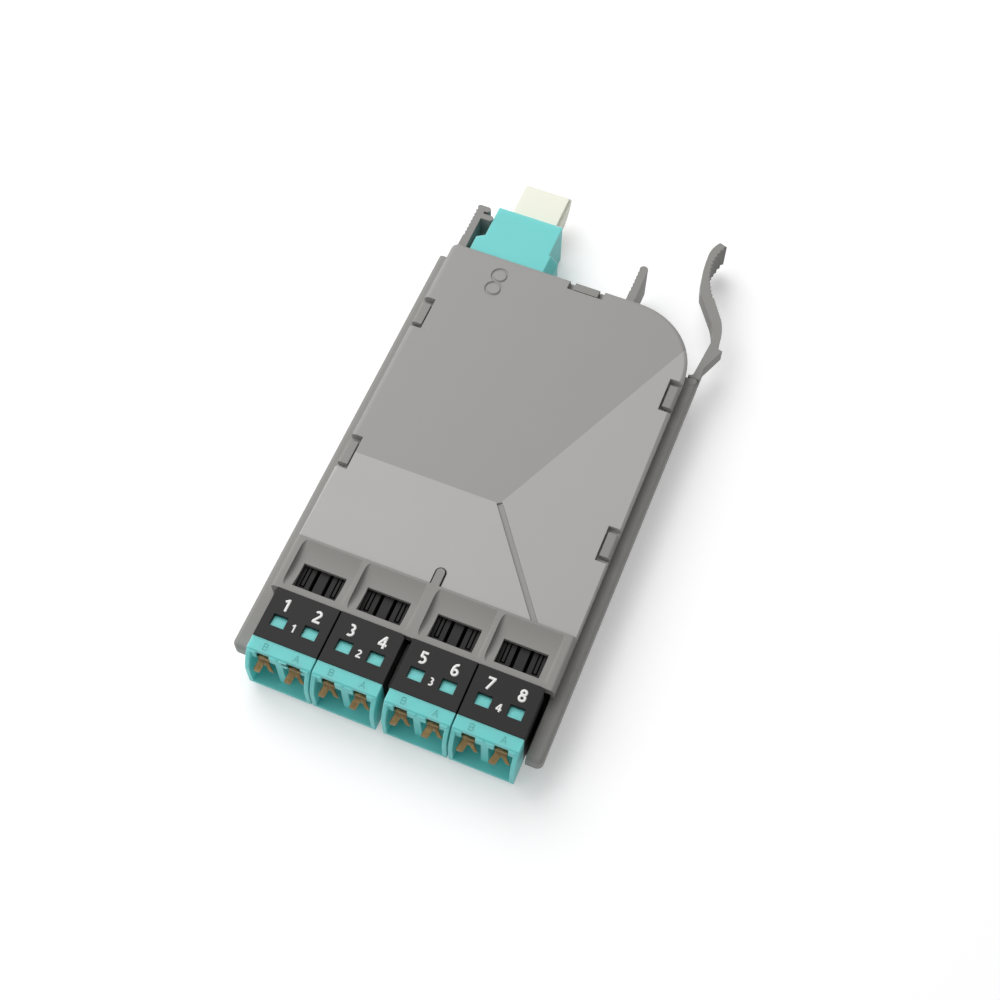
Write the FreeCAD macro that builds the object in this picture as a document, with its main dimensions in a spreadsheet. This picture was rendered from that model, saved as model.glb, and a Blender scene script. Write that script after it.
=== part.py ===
import FreeCAD, Part
import math
import os
import re
import Sketcher
from FreeCAD import Placement, Rotation, Vector

# Fibre cassette: a flat tray with a snap-on cover, four duplex port adapters in front,
# one multi-fibre adapter behind, two side rails and a squeeze lever at the right rear.
# Every piece is drawn with x from the middle, y from the front edge of the black port caps
# (plus to the rear) and z up from the underside of the tray. The last step moves it back
# by origin_back, so that the model's origin is the middle of the tray's underside.

SIZES = {
    # Tray
    "origin_back": 49.0,
    "body_back": 97.1,
    "floor_front": 1.5,
    "floor_thick": 1.2,
    "wall_thick": 2.4,
    "wall_top": 8.5,
    "bay_gap": 0.975,
    "bay_wall": 0.6,
    "corner_right": 14.5,
    "corner_left": 1.4,
    "corner_least": 0.2,
    # Shared by all pieces: how far a cut runs past the face that it opens, how deep one part
    # of a piece is rooted in the next, and the clearances of pieces that touch or slide
    "cut_past": 1.0,
    "root_depth": 0.5,
    "cover_gap": 0.05,
    "slip_gap": 0.05,
    "fit_gap": 0.1,
    # Side rails
    "rail_width": 2.54,
    "rail_bottom": 5.5,
    "rail_thick": 3.0,
    "rail_front": -1.9,
    "rail_back": 95.1,
    "rail_round": 0.9,
    "rail_corner": 1.2,
    # Bezel behind the port caps
    "bezel_front": 10.4,
    "bezel_back": 21.85,
    "bezel_top": 12.1,
    "bezel_thick": 1.9,
    "bezel_round": 0.8,
    "well_rib": 0.6,
    "well_front": 11.2,
    "well_back": 21.4,
    "well_depth": 1.1,
    "well_fillet": 0.7,
    "window_width": 8.74,
    "window_front": 11.9,
    "window_length": 5.2,
    "tongue_width": 1.65,
    "tongue_reach": 3.55,
    "tongue_gap": 0.3,
    "divider_thick": 1.2,
    # Cover
    "cover_top": 12.1,
    "cover_thick": 1.4,
    "skirt_thick": 1.2,
    "cover_round": 1.1,
    "fold_side": 4.7,
    "fold_front": 42.2,
    "fold_reach_side": 26.0,
    "fold_reach_back": 89.2,
    "fall_side": 0.45,
    "fall_front": 0.35,
    "trench_side": 20.6,
    "trench_width": 1.1,
    "trench_depth": 0.3,
    "trench_end": 0.15,
    "facet_reach": 2.0,
    # Snap hooks and their notches
    "hook_length": 5.3,
    "hook_depth": 2.1,
    "hook_arm": 1.35,
    "hook_top": 11.7,
    "hook_round": 0.6,
    "notch_length": 7.75,
    "notch_inset": 2.53,
    "notch_floor": 10.5,
    "ledge_thick": 1.2,
    "ledge_margin": 1.0,
    "ledge_root": 0.2,
    "hook_front": 41.95,
    "hook_back": 77.7,
    "rear_hook_side": 2.3,
    # Port adapters
    "adapter_width": 12.72,
    "adapter_gap": 0.35,
    "middle_step": 1.12,
    "nose_top": 12.4,
    "nose_flat": 2.5,
    "nose_front": 4.77,
    "nose_lip_y": 3.08,
    "nose_lip_z": 11.55,
    "nose_foot": 6.8,
    "nose_curve": 13.0,
    "adapter_back": 8.9,
    "port_pitch": 6.25,
    "port_width": 4.8,
    "port_top": 11.1,
    "port_floor": 0.7,
    "holder_front": 4.8,
    "holder_thick": 1.4,
    "tube_front": 2.1,
    "tube_back": 8.7,
    "tube_half": 1.35,
    "sleeve_radius": 0.95,
    "sleeve_bore": 0.645,
    "sleeve_length": 6.2,
    # Black port caps
    "cap_top": 12.5,
    "cap_thick": 0.8,
    "cap_side": 0.56,
    "cap_length": 10.34,
    "cap_corner": 1.0,
    "cap_window_width": 2.85,
    "cap_window_length": 2.38,
    "cap_window_front": 2.89,
    "pad_sink_front": 0.3,
    "pad_sink_back": 0.75,
    "cap_rib_width": 1.9,
    "cap_rib_back": 17.6,
    "cap_rib_top": 10.0,
    "cap_rib_bottom": 7.5,
    # Spring shutters, which hang from a pin across each port
    "shutter_axis_y": -2.55,
    "shutter_axis_z": 10.35,
    "shutter_pin": 0.3,
    "shutter_pin_reach": 0.35,
    "shutter_leaf": 0.3,
    "shutter_drop": 5.4,
    "shutter_plate": 2.6,
    "shutter_plate_drop": 3.0,
    "shutter_fold_drop": 1.5,
    "shutter_fold": 0.3,
    "shutter_prong": 0.8,
    "shutter_lean": 13.0,
    "shutter_gap": 0.12,
    # Inner connectors and their fibres
    "plug_width": 4.5,
    "plug_front": 6.6,
    "plug_back": 20.0,
    "plug_recess": 1.6,
    "plug_recess_back": 9.2,
    "ferrule_radius": 0.625,
    "ferrule_front": 5.5,
    "arm_width": 2.95,
    "arm_front": 7.2,
    "arm_foot": 1.6,
    "arm_sunk": 0.2,
    "arm_back": 19.0,
    "arm_top": 10.0,
    "arm_pad": 1.4,
    "arm_pad_front": 11.0,
    "groove_width": 0.28,
    "groove_tongue": 0.5,
    "groove_front": 12.9,
    "groove_depth": 0.9,
    "boot_root": 1.6,
    "boot_tip": 0.9,
    "boot_length": 6.0,
    "fibre_radius": 0.45,
    "fibre_bend_front": 34.0,
    "fibre_bend_back": 62.0,
    "fibre_bend_share": 0.45,
    "fibre_pitch": 1.7,
    # Fan-out block and ribbon
    "fan_front": 72.0,
    "fan_length": 7.0,
    "fan_width": 15.3,
    "fan_top": 6.6,
    "fan_chamfer": 0.8,
    "ribbon_width": 3.1,
    "ribbon_thick": 0.6,
    # Rear adapter, its inner plug and its dust cap
    "rear_inset": 12.45,
    "rear_axis": 5.1,
    "rear_width": 14.5,
    "rear_bottom": 0.25,
    "rear_top": 10.9,
    "rear_back": 110.0,
    "rear_neck_width": 13.6,
    "rear_neck_front": 90.0,
    "rear_neck_floor": 1.3,
    "rear_neck_top": 8.4,
    "flange_left": 8.9,
    "flange_right": 9.35,
    "flange_back": 102.0,
    "flange_slope": 1.75,
    "flange_drop": 1.9,
    "flange_cut": 1.1,
    "rear_web_front": 98.5,
    "rear_web_thick": 1.5,
    "rear_bore_width": 5.0,
    "rear_bore_height": 2.6,
    "trunk_plug_width": 12.2,
    "trunk_plug_height": 5.4,
    "trunk_plug_front": 85.0,
    "trunk_collar": 3.0,
    "trunk_collar_width": 6.1,
    "trunk_collar_height": 3.8,
    "trunk_chamfer": 0.5,
    "dust_width": 10.0,
    "dust_height": 5.4,
    "dust_back": 121.0,
    "dust_front_gap": 0.5,
    "dust_gap": 0.15,
    "dust_cheek": 0.35,
    "dust_heel": 4.2,
    "dust_heel_round": 6.0,
    "dust_toe": 0.9,
    "dust_toe_round": 1.0,
    # Grip tabs of the tray
    "tab_bottom": 2.8,
    "tab_top": 11.0,
    "left_tab_inset": 0.8,
    "left_tab_thick": 1.8,
    "left_tab_back": 109.1,
    "left_head_thick": 1.4,
    "left_head_width": 2.9,
    "left_lug_thick": 1.4,
    "left_lug_back": 107.1,
    "middle_tab_side": 10.45,
    "middle_tab_thick": 1.8,
    "middle_tab_back": 106.9,
    "tooth_pitch": 1.05,
    "tooth_depth": 0.35,
    "tab_round": 0.6,
    # Latch lever, measured from its pivot
    "pivot_back": 85.0,
    "pivot_radius": 0.9,
    "socket_lip": 0.5,
    "neck_half": 0.6,
    "shoulder_front": 0.85,
    "lever_half": 1.27,
    "crotch_front": 1.36,
    "crotch_round": 0.75,
    "ramp_front": 3.9,
    "ramp_back": 9.3,
    "ramp_reach": 3.42,
    "grip_height": 7.0,
    "grip_front": 24.5,
    "grip_deep": 29.5,
    "tip_front": 33.0,
    "tip_height": 5.2,
}

# Lengths that follow from the sizes above, by name
RULES = {
    "adapter_pitch": "adapter_width + adapter_gap",
    "bay_half": "3 * adapter_pitch / 2 + middle_step / 2 + adapter_width / 2 + bay_gap",
    "body_half": "bay_half + bay_wall",
    "rail_half": "body_half + rail_width",
    "rail_top": "rail_bottom + rail_thick",
    "port_base": "floor_thick + port_floor",
    "port_axis": "port_base + port_width / 2",
    "pivot_side": "body_half + rail_width / 2",
    "rear_side": "rear_inset - body_half",
    "rear_start": "body_back + cover_gap",
    "tab_left": "left_tab_inset - body_half",
    "tab_right": "tab_left + left_tab_thick",
    "lug_right": "rear_side - rear_width / 2 - slip_gap",
    "grip_low": "rail_top - grip_height",
}

TAB_TEETH = 8
MIDDLE_TEETH = 6
FIBRE_SIDES = 6
FIBRES = 8

doc = FreeCAD.newDocument("fibre_cassette")
sheet = doc.addObject("Spreadsheet::Sheet", "Sizes")
NAMED = list(SIZES.items()) + [(name, "=" + rule) for name, rule in RULES.items()]
for row, (name, value) in enumerate(NAMED, start=1):
    sheet.set("A%d" % row, name)
    sheet.set("B%d" % row, str(value))
    sheet.setAlias("B%d" % row, name)
doc.recompute()


def bound(text):
    """Turn the size names of an expression into references to the sheet."""

    def refer(word):
        known = word.group(0) in SIZES or word.group(0) in RULES
        return "Sizes." + word.group(0) if known else word.group(0)

    return re.sub(r"[a-z][a-z_]+", refer, text)


def number(text):
    """The value of an expression of size names, in millimetres or degrees."""
    return FreeCAD.Units.Quantity(doc.Sizes.evalExpression(bound(text))).Value


PLANES = {"up": "XY_Plane", "back": "XZ_Plane", "side": "YZ_Plane"}
LEAST_CHANGE = 1e-3
CLOSE = 0.01
FULL_TURN = 360.0


def piece(label):
    """A new body whose label names its file."""
    body = doc.addObject("PartDesign::Body", label)
    body.Label = label
    return body


def place(body, side="0", back="-origin_back", up="0", turn=0.0):
    """Set a body's place from expressions, and its turn about x in degrees."""
    body.Placement = Placement(Vector(0, 0, 0), Rotation(Vector(1, 0, 0), turn))
    body.setExpression("Placement.Base.x", bound(side))
    body.setExpression("Placement.Base.y", bound(back))
    body.setExpression("Placement.Base.z", bound(up))
    doc.recompute()


def attached(body, kind, name, plane, level):
    """A sketch or primitive on one of the body's own origin planes, moved along +x, +y or +z."""
    drawing = body.newObject(kind, name)
    datum = [item for item in body.Origin.OriginFeatures if item.Role == PLANES[plane]][0]
    drawing.AttachmentSupport = (datum, [""])
    drawing.MapMode = "FlatFace"
    sign = "-" if plane == "back" else ""
    drawing.setExpression("AttachmentOffset.Base.z", "%s(%s)" % (sign, bound(level)))
    return drawing


def fix(drawing, kind, index, point, text):
    """Bind one coordinate of a sketch point to an expression."""
    row = drawing.addConstraint(Sketcher.Constraint(kind, -1, 1, index, point, number(text)))
    drawing.setExpression("Constraints[%d]" % row, bound(text))


def arc_edge(start, end, radius):
    """The arc from start to end, bulging right of the way there for a positive radius."""
    chord = end - start
    middle = (start + end) * 0.5
    left = Vector(-chord.y, chord.x, 0).normalize()
    rise = math.sqrt(max(radius * radius - chord.Length * chord.Length / 4, 0))
    side = 1 if radius > 0 else -1
    centre = middle + left * rise * side
    crown = centre - left * abs(radius) * side
    return Part.ArcOfCircle(start, crown, end), centre


def draw_loop(drawing, corners):
    """Close a loop through corners (x, y) or (x, y, radius of the arc that arrives there)."""
    spots = [Vector(number(corner[0]), number(corner[1]), 0) for corner in corners]
    first = drawing.GeometryCount
    ends = []
    for index, corner in enumerate(corners):
        start = spots[index - 1]
        end = spots[index]
        forward = True
        if len(corner) == 2:
            drawing.addGeometry(Part.LineSegment(start, end), False)
        else:
            curve, centre = arc_edge(start, end, number(corner[2]))
            drawing.addGeometry(curve, False)
            forward = number(corner[2]) > 0
        ends.append((1, 2) if forward else (2, 1))
    for index, corner in enumerate(corners):
        here = first + index
        after = first + (index + 1) % len(corners)
        following = ends[(index + 1) % len(corners)][0]
        drawing.addConstraint(Sketcher.Constraint("Coincident", here, ends[index][1], after, following))
        fix(drawing, "DistanceX", here, ends[index][1], corner[0])
        fix(drawing, "DistanceY", here, ends[index][1], corner[1])
        if len(corner) == 3:
            radius = abs(number(corner[2]))
            chord = (spots[index] - spots[index - 1]).Length
            if near(chord, 2 * radius):
                drawing.addConstraint(Sketcher.Constraint("Symmetric", here, 1, here, 2, here, 3))
            else:
                row = drawing.addConstraint(Sketcher.Constraint("Radius", here, radius))
                drawing.setExpression("Constraints[%d]" % row, "abs(%s)" % bound(corner[2]))


def draw_circle(drawing, x, y, radius):
    """A circle with its centre and radius bound to expressions."""
    centre = Vector(number(x), number(y), 0)
    index = drawing.addGeometry(Part.Circle(centre, Vector(0, 0, 1), number(radius)), False)
    fix(drawing, "DistanceX", index, 3, x)
    fix(drawing, "DistanceY", index, 3, y)
    row = drawing.addConstraint(Sketcher.Constraint("Radius", index, number(radius)))
    drawing.setExpression("Constraints[%d]" % row, bound(radius))


def checked(body, before, cut, kind):
    """Recompute, and stop if a pad or a cut changed nothing."""
    doc.recompute()
    change = body.Shape.Volume - before
    if (change < 0) != cut or abs(change) < LEAST_CHANGE:
        raise RuntimeError("%s: a %s changed nothing" % (body.Label, kind))


def extrude(body, plane, start, length, loops, cut=False):
    """Pad or pocket the loops from start, along +x, +y or +z."""
    before = body.Shape.Volume if body.Tip else 0.0
    drawing = attached(body, "Sketcher::SketchObject", body.Name + "_outline", plane, start)
    for loop in loops:
        if isinstance(loop, tuple):
            draw_circle(drawing, *loop)
        else:
            draw_loop(drawing, loop)
    kind = "Pocket" if cut else "Pad"
    feature = body.newObject("PartDesign::" + kind, body.Name + "_" + kind)
    feature.Profile = drawing
    feature.setExpression("Length", bound(length))
    feature.Reversed = (plane == "back") != cut
    checked(body, before, cut, kind)


def groove(body, back, axis, loop):
    """Turn a loop round a level axis across the body, and cut it away."""
    before = body.Shape.Volume
    drawing = attached(body, "Sketcher::SketchObject", body.Name + "_outline", "back", back)
    drawing.setExpression("AttachmentOffset.Base.y", bound(axis))
    draw_loop(drawing, loop)
    feature = body.newObject("PartDesign::Groove", body.Name + "_Groove")
    feature.Profile = drawing
    feature.ReferenceAxis = (drawing, ["H_Axis"])
    feature.Angle = FULL_TURN
    checked(body, before, True, "Groove")


def rectangle(left, right, low, high):
    """The corners of a rectangle between two expressions each way."""
    return [(left, low), (right, low), (right, high), (left, high)]


def block(body, left, right, front, back, low, high, cut=False):
    """Add or cut a box between expressions along x, y and z."""
    height = "(%s) - (%s)" % (high, low)
    return extrude(body, "up", low, height, [rectangle(left, right, front, back)], cut)


def soften(body, radius, chosen, kind="Fillet"):
    """Round or chamfer the edges of the body that pass the test."""
    names = ["Edge%d" % index for index, edge in enumerate(body.Shape.Edges, start=1) if chosen(edge)]
    if not names:
        raise RuntimeError("%s: no edge to round" % body.Label)
    base = body.Tip
    feature = body.newObject("PartDesign::" + kind, body.Name + "_" + kind)
    feature.Base = (base, names)
    feature.setExpression("Radius" if kind == "Fillet" else "Size", bound(radius))
    doc.recompute()
    if not body.Shape.isValid() or len(body.Shape.Solids) != 1:
        raise RuntimeError("%s: the rounding spoilt the solid" % body.Label)


def near(first, second):
    """Whether two lengths agree to a hundredth of a millimetre."""
    return abs(first - second) < CLOSE


def level_edge(edge, height):
    """Whether an edge lies flat at a height."""
    return near(edge.BoundBox.ZMin, height) and near(edge.BoundBox.ZMax, height)


def upright_edge(edge):
    """Whether an edge stands upright."""
    box = edge.BoundBox
    return near(box.XLength, 0) and near(box.YLength, 0)


SIDES = ("left", "right")
HOOKS = ("hook_front", "hook_back")


def side_span(side, outer, inner):
    """The two x expressions between an outer and an inner distance from the middle."""
    if side == "left":
        return "-(%s)" % outer, "-(%s)" % inner
    return inner, outer


def across(centre, half):
    """The two x expressions at half a width either side of a centre."""
    return "(%s) - (%s)" % (centre, half), "(%s) + (%s)" % (centre, half)


def adapter_side(index):
    """The x expression of the middle of port adapter 1 to 4, from left to right."""
    steps = 2 * index - 5
    sign = "-" if steps < 0 else "+"
    return "%d * adapter_pitch / 2 %s middle_step / 2" % (steps, sign)


def port_side(port):
    """The x expression of the middle of port 1 to 8, from left to right."""
    sign = "-" if port % 2 else "+"
    return "%s %s port_pitch / 2" % (adapter_side((port + 1) // 2), sign)


def outline(inset, front):
    """A loop from the front line round the two rear corners, set in by a distance."""
    half = "(body_half - %s)" % inset
    back = "(body_back - %s)" % inset
    right = "(corner_right - %s)" % inset
    left = "max(corner_left - %s; corner_least)" % inset
    return [
        ("-" + half, front),
        (half, front),
        (half, "%s - %s" % (back, right)),
        ("%s - %s" % (half, right), back, right),
        ("-%s + %s" % (half, left), back),
        ("-" + half, "%s - %s" % (back, left), left),
    ]


def make_base():
    """The tray: floor, walls, bezel, rails, snap hooks and grip tabs, moulded in one piece."""
    body = piece("housing_base")
    extrude(body, "up", "0", "wall_top", [outline("0", "floor_front")])
    extrude(body, "up", "floor_thick", "wall_top - floor_thick", [outline("wall_thick", "bezel_back")], cut=True)
    block(body, "-bay_half", "bay_half", "floor_front - cut_past", "bezel_back", "floor_thick", "wall_top", cut=True)
    underside = "bezel_top - bezel_thick"
    for side in SIDES:
        left, right = side_span(side, "body_half", "bay_half")
        block(body, left, right, "bezel_front", "bezel_back", "wall_top", underside)
    block(body, "-body_half", "body_half", "bezel_front", "bezel_back", underside, "bezel_top")
    half_tongue = "tongue_width / 2"
    tongue_end = "bezel_back + tongue_reach - " + half_tongue
    tongue = [
        ("-" + half_tongue, "bezel_back - root_depth"),
        (half_tongue, "bezel_back - root_depth"),
        (half_tongue, tongue_end),
        ("-" + half_tongue, tongue_end, half_tongue),
    ]
    extrude(body, "up", underside, "bezel_thick", [tongue])
    half = number("body_half")
    top = number("bezel_top")
    soften(body, "bezel_round", lambda edge: level_edge(edge, top) and near(edge.BoundBox.XLength, 0)
           and near(abs(edge.BoundBox.XMin), half))
    make_wells(body)
    make_rails(body)
    block(body, "-divider_thick / 2", "divider_thick / 2", "floor_front", "bezel_front", "floor_thick", "wall_top")
    make_hooks(body)
    make_rear_opening(body)
    make_tabs(body)
    place(body)
    return body


def make_wells(body):
    """Four dished finger wells, turned like a drum with rounded rims, with a window in each."""
    chord_half = "(well_back - well_front) / 2"
    radius = "((%s * %s + well_depth * well_depth) / (2 * well_depth))" % (chord_half, chord_half)
    axis = "bezel_top - well_depth + " + radius
    for index in range(1, 5):
        left, right = across(adapter_side(index), "adapter_pitch / 2 - well_rib / 2")
        shallow = "-(%s - well_depth - cut_past)" % radius
        rim = "-(%s - well_fillet)" % radius
        drum = [
            (left, shallow),
            (left, rim),
            (left + " + well_fillet", "-" + radius, "well_fillet"),
            (right + " - well_fillet", "-" + radius),
            (right, rim, "well_fillet"),
            (right, shallow),
        ]
        groove(body, "(well_front + well_back) / 2", axis, drum)
        left, right = across(adapter_side(index), "window_width / 2")
        block(body, left, right, "window_front", "window_front + window_length",
              "bezel_top - bezel_thick - cut_past", "bezel_top", cut=True)


def make_rails(body):
    """The two side rails; the right one ends in the socket that holds the lever's root_depth."""
    for side in SIDES:
        back = "rail_back" if side == "left" else "pivot_back + socket_lip"
        outer_left, outer_right = side_span(side, "rail_half", "bay_half")
        corner_left, corner_right = side_span(side, "rail_half - rail_corner", "bay_half")
        if side == "left":
            front = [
                (outer_left, "rail_front + rail_corner"),
                (corner_left, "rail_front", "rail_corner"),
                (outer_right, "rail_front"),
                (outer_right, "bezel_front + root_depth"),
                (outer_left, "bezel_front + root_depth"),
            ]
        else:
            front = [
                (outer_left, "rail_front"),
                (corner_right, "rail_front"),
                (outer_right, "rail_front + rail_corner", "rail_corner"),
                (outer_right, "bezel_front + root_depth"),
                (outer_left, "bezel_front + root_depth"),
            ]
        extrude(body, "up", "rail_bottom", "rail_thick", [front])
        left, right = side_span(side, "rail_half", "body_half - root_depth")
        extrude(body, "up", "rail_bottom", "rail_thick", [rectangle(left, right, "bezel_front", back)])
    outer_side = number("rail_half")
    rail_top = number("rail_top")
    soften(body, "rail_round", lambda edge: level_edge(edge, rail_top)
           and near(abs(edge.BoundBox.XMin), outer_side) and near(abs(edge.BoundBox.XMax), outer_side))
    extrude(body, "up", "rail_bottom - cut_past", "rail_thick + 2 * cut_past",
            [("pivot_side", "pivot_back", "pivot_radius + fit_gap")], cut=True)


def make_hooks(body):
    """Five snap hooks that stand on the walls and reach over the cover's ledges."""
    seat = "notch_floor + cover_gap"
    for side in SIDES:
        for centre in HOOKS:
            front, back = across(centre, "hook_length / 2")
            left, right = side_span(side, "body_half", "body_half - hook_arm")
            block(body, left, right, front, back, "wall_top", seat)
            left, right = side_span(side, "body_half", "body_half - hook_depth")
            block(body, left, right, front, back, seat, "hook_top")
    left, right = across("rear_hook_side", "hook_length / 2")
    block(body, left, right, "body_back - hook_arm", "body_back", "wall_top", seat)
    block(body, left, right, "body_back - hook_depth", "body_back", seat, "hook_top")
    half = number("body_half")
    back = number("body_back")

    def outer_top(edge):
        box = edge.BoundBox
        at_side = near(box.XLength, 0) and near(abs(box.XMin), half)
        at_back = near(box.YLength, 0) and near(box.YMin, back)
        return level_edge(edge, number("hook_top")) and (at_side or at_back)

    soften(body, "hook_round", outer_top)


def make_rear_opening(body):
    """The slot in the rear wall that the neck of the rear adapter stands in."""
    left, right = across("rear_side", "rear_neck_width / 2 + fit_gap")
    block(body, left, right, "body_back - wall_thick - cut_past", "body_back + cut_past",
          "floor_thick", "wall_top", cut=True)


def rack(side, start, count):
    """The loop that cuts a straight row of teeth into a face on the left, from start to the rear."""
    corners = [(side + " - cut_past", start)]
    for tooth in range(count):
        corners.append((side, "%s + %d * tooth_pitch" % (start, tooth)))
        corners.append((side + " + tooth_depth", "%s + %d * tooth_pitch + tooth_pitch / 2" % (start, tooth)))
    end = "%s + %d * tooth_pitch" % (start, count)
    return [(side, end), (side + " - cut_past", end)] + corners


def make_tabs(body):
    """The toothed grip tabs behind the rear wall: the left one has a head and a lug."""
    height = "tab_top - tab_bottom"
    middle_right = "middle_tab_side + middle_tab_thick"
    for low_side, high_side in (("tab_left", "tab_right"), ("middle_tab_side", middle_right)):
        block(body, low_side, high_side, "body_back - wall_thick / 2", "rear_start + root_depth", "tab_bottom", "wall_top")
    bar = [
        ("tab_left", "rear_start"),
        ("tab_right", "rear_start"),
        ("tab_right", "left_tab_back - left_head_thick"),
        ("tab_left + left_head_width - tab_round", "left_tab_back - left_head_thick"),
        ("tab_left + left_head_width - tab_round", "left_tab_back", "left_head_thick / 2"),
        ("tab_left + tab_round", "left_tab_back"),
        ("tab_left", "left_tab_back - tab_round", "tab_round"),
    ]
    extrude(body, "up", "tab_bottom", height, [bar])
    lug_half = "left_lug_thick / 2"
    lug = [
        ("tab_right - root_depth", "left_lug_back - left_lug_thick"),
        ("lug_right - " + lug_half, "left_lug_back - left_lug_thick"),
        ("lug_right - " + lug_half, "left_lug_back", lug_half),
        ("tab_right - root_depth", "left_lug_back"),
    ]
    extrude(body, "up", "tab_bottom", height, [lug])
    half = "middle_tab_thick / 2"
    middle = [
        ("middle_tab_side", "rear_start"),
        (middle_right, "rear_start"),
        (middle_right, "middle_tab_back - " + half),
        ("middle_tab_side", "middle_tab_back - " + half, half),
    ]
    extrude(body, "up", "tab_bottom", height, [middle])
    left_start = "left_tab_back - tab_round - %d * tooth_pitch" % TAB_TEETH
    middle_start = "middle_tab_back - %s - %d * tooth_pitch" % (half, MIDDLE_TEETH)
    racks = [rack("tab_left", left_start, TAB_TEETH), rack("middle_tab_side", middle_start, MIDDLE_TEETH)]
    extrude(body, "up", "tab_bottom - cut_past", height + " + 2 * cut_past", racks, cut=True)


def make_cover():
    """The snap-on cover: a plate with a skirt, three facets, a trench and notches for the hooks."""
    body = piece("housing_cover")
    front = "bezel_back + cover_gap"
    base = "wall_top + cover_gap"
    extrude(body, "up", base, "cover_top - (%s)" % base, [outline("0", front)])
    top = number("cover_top")
    start = number(front)
    soften(body, "cover_round", lambda edge: level_edge(edge, top) and not near(edge.BoundBox.YMax, start))
    ceiling = "cover_top - cover_thick"
    extrude(body, "up", base + " - cut_past", "%s - (%s) + cut_past" % (ceiling, base),
            [outline("skirt_thick", front + " - cut_past")], cut=True)
    ledge = "notch_length / 2 + ledge_margin"
    for side in SIDES:
        for centre in HOOKS:
            front_edge, back_edge = across(centre, ledge)
            left, right = side_span(side, "body_half - skirt_thick / 2", "body_half - notch_inset - ledge_margin")
            block(body, left, right, front_edge, back_edge, "notch_floor - ledge_thick", ceiling + " + ledge_root")
    left, right = across("rear_hook_side", ledge)
    block(body, left, right, "body_back - notch_inset - ledge_margin", "body_back - skirt_thick / 2",
          "notch_floor - ledge_thick", ceiling + " + ledge_root")
    arm = "hook_length / 2 + fit_gap"
    for side in SIDES:
        for centre in HOOKS:
            front_edge, back_edge = across(centre, "notch_length / 2")
            left, right = side_span(side, "body_half + cut_past", "body_half - notch_inset")
            block(body, left, right, front_edge, back_edge, "notch_floor", "cover_top + cut_past", cut=True)
            front_edge, back_edge = across(centre, arm)
            left, right = side_span(side, "body_half + cut_past", "body_half - hook_arm - fit_gap")
            block(body, left, right, front_edge, back_edge, "wall_top - cut_past", "notch_floor + cut_past", cut=True)
    left, right = across("rear_hook_side", "notch_length / 2")
    block(body, left, right, "body_back - notch_inset", "body_back + cut_past", "notch_floor",
          "cover_top + cut_past", cut=True)
    left, right = across("rear_hook_side", arm)
    block(body, left, right, "body_back - hook_arm - fit_gap", "body_back + cut_past", "wall_top - cut_past",
          "notch_floor + cut_past", cut=True)
    half = "(tongue_width / 2 + tongue_gap)"
    end = "bezel_back + tongue_reach + tongue_gap - " + half
    notch = [
        ("-" + half, "bezel_back - cut_past"),
        (half, "bezel_back - cut_past"),
        (half, end),
        ("-" + half, end, half),
    ]
    extrude(body, "up", "wall_top", "cover_top - wall_top + cut_past", [notch], cut=True)
    make_facets(body)
    place(body)
    return body


def tilted_pocket(body, level, origin, along, turn, loop):
    """Cut everything above a plane that falls to the right of a fold line, inside a loop."""
    before = body.Shape.Volume
    drawing = attached(body, "Sketcher::SketchObject", body.Name + "_fold", "up", level)
    spin = Rotation(Vector(0, 0, 1), along).multiply(Rotation(Vector(1, 0, 0), turn))
    drawing.AttachmentOffset = Placement(origin, spin)
    inverse = drawing.AttachmentOffset.inverse()
    corners = [inverse.multVec(Vector(corner[0], corner[1], origin.z)) for corner in loop]
    for index, corner in enumerate(corners):
        start = corners[index - 1]
        drawing.addGeometry(Part.LineSegment(Vector(start.x, start.y, 0), Vector(corner.x, corner.y, 0)), False)
    feature = body.newObject("PartDesign::Pocket", body.Name + "_facet")
    feature.Profile = drawing
    feature.setExpression("Length", bound("facet_reach"))
    feature.Reversed = True
    doc.recompute()
    if body.Shape.Volume > before - LEAST_CHANGE:
        raise RuntimeError("%s: a facet cut nothing" % body.Label)


def make_facets(body):
    """The side facet, the front facet and the trench between them."""
    half = number("body_half + cut_past")
    top = number("cover_top")
    front = number("bezel_back - cut_past")
    fold = Vector(number("fold_side"), number("fold_front"), top)
    reach = Vector(number("fold_reach_side"), number("fold_reach_back"), top)
    trench = number("trench_side")
    run = reach - fold
    along = math.degrees(math.atan2(run.y, run.x))
    fall = math.degrees(math.atan2(number("fall_side"), half - fold.x))
    far = reach + run * ((half - reach.x) / run.x)
    side_loop = [(fold.x, fold.y), (trench, front), (half, front), (half, far.y)]
    tilted_pocket(body, "cover_top", fold, along, fall, side_loop)
    drop = math.degrees(math.atan2(number("fall_front"), fold.y - front))
    front_loop = [(-half, fold.y), (-half, front), (trench, front), (fold.x, fold.y)]
    tilted_pocket(body, "cover_top", fold, 0.0, drop, front_loop)
    slope = Vector(trench - fold.x, front - fold.y, 0)
    aside = Vector(-slope.y, slope.x, 0).normalize() * number("trench_width / 2")
    level = "cover_top - trench_depth"
    bottom = Vector(fold.x, fold.y, number(level))
    head = Vector(fold) - Vector(slope).normalize() * number("trench_end")
    end = fold + slope
    corners = [head + aside, head - aside, end - aside, end + aside]
    tilted_pocket(body, level, bottom, 0.0, drop, [(corner.x, corner.y) for corner in corners])


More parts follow.
